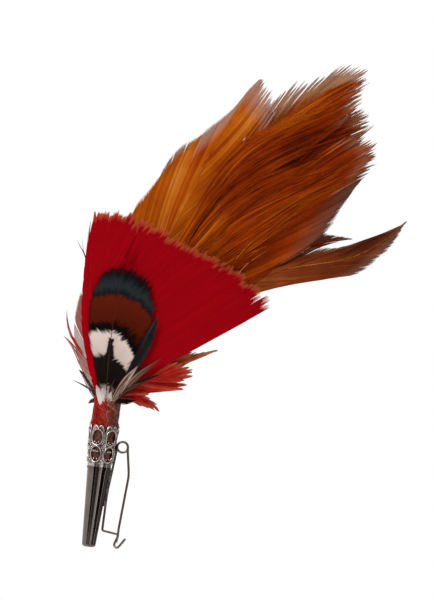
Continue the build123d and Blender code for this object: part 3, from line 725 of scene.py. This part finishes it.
feather(
    "ginger_wisp", 5,
    [(1, 2), (10, 8), (18, 13.2), (25, 17.2), (30.8, 19.5)],
    [(3, 5), (12, 12), (19, 16.4), (25, 18.6)],
    [(5, 3), (13, 8), (19, 12.2), (25, 16.2)],
    HACKLE, HACKLE, ginger_barbs, red_horn)
feather(
    "ginger_feather_bright", 6,
    [(0.8, 2), (8, 24), (16, 40), (23.4, 50), (32.8, 60.2), (48.7, 71), (60, 78), (69.6, 86.8)],
    [(0.5, 16), (5, 36), (12, 51), (21, 64), (32, 73.5), (43, 80.5), (54, 86), (63, 88.4)],
    [(8, 14), (18, 32), (28, 44), (38, 53), (49, 61), (58, 68), (65, 75), (69.6, 81)],
    {**BLEND, "tone": 0.46, "outer": lambda tip: tip.x > 60, "inner": 16},
    {**BLEND, "tone": 0.48, "outer": lambda tip: tip.x > 64}, ginger_barbs, horn, ginger_painted_light_and_shade)
feather(
    "ginger_feather_golden", 7,
    [(-0.8, 2), (0.6, 14), (3, 28), (7.4, 40.7), (13, 55.6), (19.1, 74), (24.6, 86.2), (33.2, 101.7)],
    [(-3, 14), (-3, 36), (0, 57), (4.1, 64.9), (11.6, 76.8), (18.2, 84.2), (25.5, 91.6), (29.2, 97.4),
     (32.2, 101.4)],
    [(6, 16), (14, 34), (22, 54), (28, 66), (33, 77), (37, 87), (38.4, 94), (36.5, 99.5)],
    {**CLEAN, "tone": 0.68, "pitch": 0.18, "width": 0.38, "fray": 0.3, "ragged": (-0.2, 0.2), "gather": 0,
     "outer": lambda tip: tip.y > 84, "inner": 0.2, "soft": 0.95},
    {**BLEND, "tone": 0.68, "fade": -0.12, "outer": lambda tip: tip.y > 86, "ragged": (-1, 1), "point": 1.0},
    golden_barbs, horn, ginger_painted_light_and_shade)
feather(
    "ginger_feather_cut", 8,
    [(1.2, 2), (10, 22), (20, 36), (29.5, 45.1), (38.9, 53.9), (48, 63.4), (57, 70.6), (66.5, 75.7)],
    [(3, 16), (11, 39), (22, 54), (33, 64.5), (44, 72.5), (54, 77), (62, 78)],
    [(16, 18), (30, 34), (44, 46), (57.7, 58.5), (62.2, 67.3)],
    {**BLEND, "tone": 0.42},
    {**CLEAN, "tone": 0.46, "pitch": 0.17, "width": 0.32, "gather": 0, "ragged": (0, 0.5), "fray": 0.5,
     "outer": lambda tip: tip.x > 54, "inner": 14}, cut_barbs, horn, ginger_painted_light_and_shade)
feather(
    "ginger_feather_swoosh", 9,
    [(1.8, 2), (14, 22), (26, 35), (35.9, 42), (48.9, 46.8), (60.6, 50.1), (69.2, 53.6), (76.1, 58.9),
     (81.9, 65.3)],
    [(8, 22), (22, 38), (36, 49), (48, 53.6), (60.7, 54.8), (67.1, 56.4), (72.9, 58.6), (78.6, 62.2)],
    [(14, 16), (26, 30), (34, 38), (39.9, 41), (49.4, 43.2), (58.3, 45), (65.2, 46.3), (70.4, 48.2),
     (75, 52.6), (79.6, 58.5)],
    {**HAIRY, "tone": 0.42, "ragged": (-0.8, 0.2), "bulge": 0.12, "point": 0.6, "fray": 0.4, "gather": 0.1,
     "pitch": 0.17},
    {**CLEAN, "tone": 0.46, "ragged": (-0.8, 0.1), "bulge": 0.02, "gather": 0.05, "lock": (1.5, 5),
     "point": 0.5, "pitch": 0.15, "width": 0.4, "sweep": 1.5}, brown_barbs, horn, swoosh_shade)
feather(
    "ginger_feather_upper", 10,
    [(0, 2), (3, 18), (8, 36), (14, 51), (21.5, 69), (29.1, 81.2), (41.1, 90), (51.5, 95.6), (64.4, 106.4)],
    [(-3, 16), (0, 38), (6, 56), (13, 72), (20, 83), (26.5, 90.5), (34, 95), (45.4, 99), (58, 105),
     (63.6, 107.3)],
    [(8, 18), (17, 38), (26, 54), (36, 66), (46, 76), (54, 84), (60, 92), (63.5, 99)],
    {**BLEND, "tone": 0.54, "inner": 3, "ragged": (-1, 0.6)},
    {**BLEND, "tone": 0.48, "outer": lambda tip: tip.x > 61}, ginger_barbs, horn, ginger_painted_light_and_shade)
feather(
    "ginger_feather_middle", 11,
    [(0.6, 2), (5, 18), (11, 35), (20, 55.5), (30.4, 71.6), (44.2, 82.8), (55, 89.2), (66.6, 95.7)],
    [(0, 18), (6, 40), (13, 57), (21, 71), (30, 81), (40, 88.5), (50, 94), (58, 97), (63, 97.4)],
    [(10, 18), (20, 37), (30, 52), (40, 63), (50, 72), (59, 80), (65, 87), (66.9, 92)],
    {**BLEND, "tone": 0.46, "outer": lambda tip: tip.x > 58},
    {**BLEND, "tone": 0.4, "outer": lambda tip: tip.x > 64}, ginger_barbs, horn, ginger_painted_light_and_shade)
feather(
    "ginger_feather_fringed", 12,
    [(1.4, 2), (8, 20), (17, 38), (26, 51), (36, 62), (47, 71), (58, 78.3), (70.3, 83.9)],
    [(5, 20), (14, 44), (25, 60), (37, 72), (49, 81), (59, 87), (66.6, 89.2)],
    [(14, 16), (25, 34), (36, 47), (47, 57), (57, 66), (65, 74), (69.7, 79.2)],
    {**BLEND, "tone": 0.4, "outer": lambda tip: tip.x > 62},
    {**BLEND, "tone": 0.42, "outer": lambda tip: tip.x > 65}, ginger_barbs, horn, ginger_painted_light_and_shade)
feather(
    "ginger_feather_lower", 13,
    [(1.6, 2), (12, 22), (23, 36), (32.7, 44), (41, 49.4), (51, 53.8), (60, 56.9), (66.7, 58.1)],
    [(8, 20), (19, 40), (30, 51), (41, 57), (50, 59.4), (57, 59)],
    [(18, 20), (29, 35), (39, 43), (48, 48), (55, 52.4), (59, 55.3)],
    {**CLEAN, "tone": 0.42, "bulge": 0.1}, {**BLEND, "tone": 0.42}, cut_barbs, horn, ginger_painted_light_and_shade)
feather(
    "ginger_feather_left", 14,
    [(-0.5, 2), (0, 16), (1.5, 36), (4, 54), (8, 66), (12.5, 74), (17.5, 80), (21, 84.5)],
    [(-4, 16), (-4, 40), (-0.4, 57.5), (5.3, 67), (8.5, 75), (12, 79.9), (15, 82), (18.2, 84.3)],
    [(6, 20), (11, 40), (16, 60), (19, 70), (21, 78), (22, 82)],
    {**CLEAN, "tone": 0.62, "pitch": 0.2, "width": 0.3, "fray": 0.4}, {**BLEND, "tone": 0.6}, sheer_barbs,
    horn, ginger_painted_light_and_shade)
feather(
    "ginger_feather_back", 15,
    [(0.3, 2), (4, 20), (10, 40), (17, 58), (26, 74), (37, 87), (48, 96.8), (63.6, 109)],
    [(-2, 20), (3, 44), (10, 62), (19, 77), (28, 90), (38, 97.4), (42, 101.6), (49.4, 105.6), (54, 108),
     (59, 111)],
    [(10, 22), (20, 44), (30, 58), (42, 70), (54, 80), (66, 88), (66.6, 94.4), (63.4, 98), (64.6, 103)],
    {**SHEER, "bow": -0.1, "ruffle": 0.05}, {**SHEER, "bow": -0.1, "ruffle": 0.05, "tone": 0.45}, sheer_barbs,
    horn, ginger_painted_light_and_shade)

# Pale hackle: a hackle that took little dye, white with pink at its edge, at the back of the sheaf. Only
# its left edge shows past the red feathers.
pale_barbs = keratin("pale_hackle_barbs",
                     ((0.0, "7C1418"), (0.35, "A85A54"), (0.65, "B89C96"), (1.0, "D8CCC6")),
                     ("B4A09A", 4, 0.4), ("9C4A44", 0.2, 0.4), 0.5, 0.1)
feather(
    "red_hackle_left", 16,
    [(-0.5, 2), (-4.6, 10), (-8.5, 20), (-10.4, 34), (-11.6, 47)],
    [(-2.6, 2), (-7, 5.5), (-11, 12), (-13.2, 19), (-13.5, 27), (-12.4, 34), (-12, 42)],
    [(-0.4, 10), (-3, 26), (-6, 40), (-9.6, 48)],
    {**CLEAN, "tone": 0.5, "pitch": 0.2, "width": 0.36, "fray": 0.4, "streak": 0.14},
    {**CLEAN, "tone": 0.3}, pale_barbs, red_horn)

# Side plume: a short blue-black pheasant feather, seen edge on, that lies beside the banded one on the fan.
# It is undyed, with a faint slate gloss, and is bound in at the neck with the others.
slate_barbs = keratin("slate_plume_barbs",
                      ((0.0, "0C0A0A"), (0.4, "201E20"), (0.7, "38383A"), (1.0, "62605E")),
                      ("2A2422", 1, 0.3), ("1A1210", 0.2, 0.5), 0.4, 0.08)
plume = Vane(Plane(-1))
plume_look = {**CLEAN, "pitch": 0.2, "width": 0.3, "tone": 0.25, "fade": 0.25, "sweep": 1.6}
plume_shaft = Line([(2.6, 0.8), (5.6, 8), (9, 18), (11.8, 27.2)])
add_barbs(plume, plume_shaft, Line([(3.2, 5), (6.4, 14.5), (9.4, 23), (11.8, 27.2)]), plume_look, chance)
add_barbs(plume, plume_shaft, Line([(4.6, 4), (8.4, 12), (11.3, 20), (11.8, 27.2)]), plume_look, chance)
plume.piece("pheasant_side_plume", [], "pheasant_vane", slate_barbs)

# Down: the soft undyed roots of the feathers, brown and grey, that come free at the neck and stick together
# in points. Pale fluff of the same kind lies at the front, and a few red wisps stand off at the left.
down_barbs = keratin("undyed_down", ((0.0, "0E0806"), (0.35, "341C14"), (0.65, "6E4C3E"), (1.0, "BCA092")),
                     ("4A3226", 1, 0.3), ("2A1610", 0.1, 0.3), 0.6, 0.08)


def tuft(name, layer, slot, barbs, lances):
    """Pointed wisps in one plane, each as its line, its number of filaments, how far they part, and its tone.
    The filaments part a little along the line and meet again at its tip."""
    vane = Vane(Plane(layer))
    for points, count, width, tone in lances:
        route = Line(points)
        for _ in range(count):
            off = Vector((chance.gauss(0, width), chance.gauss(0, width)))
            spots = [route.at(k / 6) + off * math.sin(math.pi * (0.15 + 0.85 * k / 6)) for k in range(7)]
            vane.hair(Line(spots, 3), chance.uniform(0.14, 0.28), tone + chance.gauss(0, 0.12),
                      (0, chance.uniform(-0.4, 0.4)))
    vane.piece(name, [], slot, barbs)


tuft("front_down", -1.4, "pheasant_vane", down_barbs, [
    ([(2.2, 0.4), (5.3, 5), (8.5, 9.3), (14.2, 14.8)], 44, 0.5, 0.55),
    ([(2.0, 0.6), (4.6, 6.2), (7.8, 12)], 40, 0.5, 0.9),
    ([(2.6, 0.6), (8, 6.6), (15.4, 10.5)], 24, 0.32, 0.14),
    ([(1.8, 0.8), (3.6, 5), (5.6, 9.2)], 30, 0.4, 0.5),
    ([(2.2, 0.8), (6.4, 5), (10.6, 7.4)], 26, 0.4, 0.35),
    ([(2.4, 0.4), (5.4, 0.7), (8.4, 1.4)], 36, 0.4, 0.04),
    ([(0.6, 0.4), (0.6, 4), (1.6, 7.4)], 10, 0.3, 0.3),
])
tuft("pale_root_fluff", -1.6, "pheasant_vane", pale_barbs, [
    ([(-1.2, -1.4), (-2.6, 1.6), (-3.9, 4.6)], 50, 0.5, 1.0),
    ([(-0.6, -1.2), (-1.4, 1.4), (-1.9, 4.0)], 44, 0.5, 1.05),
    ([(0.2, -0.8), (0.3, 1.2), (0.8, 3.2)], 40, 0.4, 0.95),
])
tuft("back_down", 16.6, "pheasant_vane", down_barbs, [
    ([(-2.6, -0.4), (-5.6, 4), (-8, 6.6), (-10.1, 8.1)], 50, 0.7, 0.5),
    ([(-2.6, 0.2), (-6.5, 3), (-11.5, 4.8)], 10, 0.16, 0.6),
    ([(-2.4, 0.2), (-4.6, -0.6), (-5.9, -1.6)], 24, 0.4, 0.45),
    ([(-2.4, 1), (-5, 5), (-6.6, 9.6)], 40, 0.8, 0.6),
    ([(2.4, 0.5), (4.4, 3), (6.5, 4.4)], 50, 0.8, 0.4),
    ([(0.4, 0.5), (1, 4), (2, 7)], 50, 1.0, 0.6),
])
tuft("left_red_wisps", 16.2, "red_vane", hackle_barbs, [
    ([(-3.2, 3), (-8.9, 9.5), (-12.4, 14.6), (-16.1, 17.7)], 16, 0.5, 0.5),
    ([(-4, 5), (-10.4, 14), (-14.6, 19.6), (-16.1, 25.6)], 9, 0.3, 0.55),
    ([(-11, 34), (-12.5, 41.6), (-14.9, 45.4), (-16.1, 47.2)], 5, 0.12, 0.4),
    ([(-11, 36), (-12.5, 41.6), (-13.7, 44.6), (-14.4, 47.7)], 4, 0.1, 0.4),
    ([(-10.8, 34), (-11.9, 42), (-12.5, 48), (-12.6, 53.4)], 10, 0.3, 0.45),
])

# Veil: loose locks of the ginger feathers' own barbs. They lie over the sheaf and hide where one feather
# ends and the next starts, and they flow from the golden feather round to the low ones. Four stray hairs
# stand free.
GUIDES = [(SHAFTS["ginger_feather_" + name], tone) for name, tone in (
    ("golden", 0.7), ("upper", 0.56), ("middle", 0.44), ("bright", 0.46), ("cut", 0.48), ("lower", 0.4))]


def stream(across, share):
    """A point of the sheaf's flow, from the golden feather (0) across to the lower one (1), with its tone."""
    place = min(max(across, 0.0), 0.999) * (len(GUIDES) - 1)
    (first, first_tone), (second, second_tone) = GUIDES[int(place)], GUIDES[int(place) + 1]
    part = place - int(place)
    return first.at(share).lerp(second.at(share), part), first_tone + (second_tone - first_tone) * part


VEIL_LOCKS = 120
LOW_SIDE = 0.6
veil = Vane(Plane(5.5))
for _ in range(VEIL_LOCKS):
    across = chance.uniform(0.22, 0.97)
    beyond = max(0.0, across - LOW_SIDE)
    low = chance.uniform(0.3, 0.76 - 0.4 * beyond)
    high = min(0.99 - 0.8 * beyond, low + chance.uniform(0.12, 0.34))
    drift, lock_tone = chance.gauss(0, 0.03), chance.gauss(0, 0.06)
    for _ in range(chance.randint(5, 16)):
        own = chance.gauss(0, 0.012)
        start = low + chance.gauss(0, 0.02)
        stop = high - abs(chance.gauss(0, 0.03))
        route = Line([stream(across + own * (1 - 0.6 * k / 4) + drift * k / 4,
                             start + (stop - start) * k / 4)[0] for k in range(5)], 4)
        veil.hair(route, chance.uniform(0.16, 0.36),
                  stream(across, low)[1] + lock_tone + chance.gauss(0, 0.05),
                  (-0.1, chance.uniform(0.1, 0.9)), 0.3, HIDDEN_END, ginger_painted_light_and_shade)
veil.piece("ginger_veil", [], "ginger_vane", ginger_barbs)

strays = Vane(Plane(5.4))
for points in ([(30, 43.5), (34, 47.8), (41.2, 52.2)], [(32.5, 41), (36, 46.2), (42, 51.7)],
               [(8.6, 48), (10.3, 53), (11.4, 60)], [(31, 43), (33, 48), (36.5, 53)]):
    strays.hair(Line(points), 0.16, 0.95, (0.2, 0.6))
strays.piece("stray_filaments", [], "ginger_vane", ginger_barbs)

# Neck: ends of down and dyed fibre, matted with glue over the binding thread. They are red at the front and
# left, and undyed brown at the right and back, with a damp shine where the glue soaked in.
NECK_RADIUS = 3.78
NECK_FOOT = -8.4
NECK_FIBRES = 1100
matted = keratin("matted_neck_fibres", ((0.0, "6A0806"), (0.25, "A81812"), (0.45, "C23A26"), (0.55, "4A2A20"),
                                        (0.78, "74564A"), (1.0, "A48A7C")),
                 ("7A3020", 0.5, 0.2), ("5A1A12", 0.1, 0.2), 0.35, 0.04)
neck = Vane(Plane(8))
for n in range(NECK_FIBRES):
    turn = chance.uniform(-180, 180)
    low = chance.uniform(-8.2, -0.6)
    if n % 5 == 0:
        low = chance.uniform(NECK_FOOT, -7.2)
    tall = chance.uniform(1.2, 4.2) * (0.45 if low < -7 else 1.0)
    slant = chance.gauss(0, 14)
    puff = 0.55 * max(0.0, 1 - (low - NECK_FOOT) / 1.6)
    red = -150 < turn < 5 + chance.gauss(0, 14) or chance.random() < 0.12
    tone = chance.gauss(0.24, 0.1) if red else min(1.0, max(0.56, chance.gauss(0.74, 0.12)))
    points, sides = [], []
    bulge = chance.uniform(0.02, 0.3) + puff
    wide = chance.uniform(0.07, 0.16)
    for k in range(6):
        t = k / 5
        angle = math.radians(turn + slant * tall * t)
        away = NECK_RADIUS + 0.04 + bulge * math.sin(math.pi * (0.1 + 0.8 * t))
        points.append(Vector((away * math.sin(angle), -away * math.cos(angle), NECK + low + tall * t)) * MM)
        sides.append(Vector((math.cos(angle), math.sin(angle), 0)) * wide * (1 - 0.7 * t) * MM)
    neck.ribbon(points, sides, [tone] * 6)
neck.piece("matted_neck_fibres", [], "binding_thread", matted)
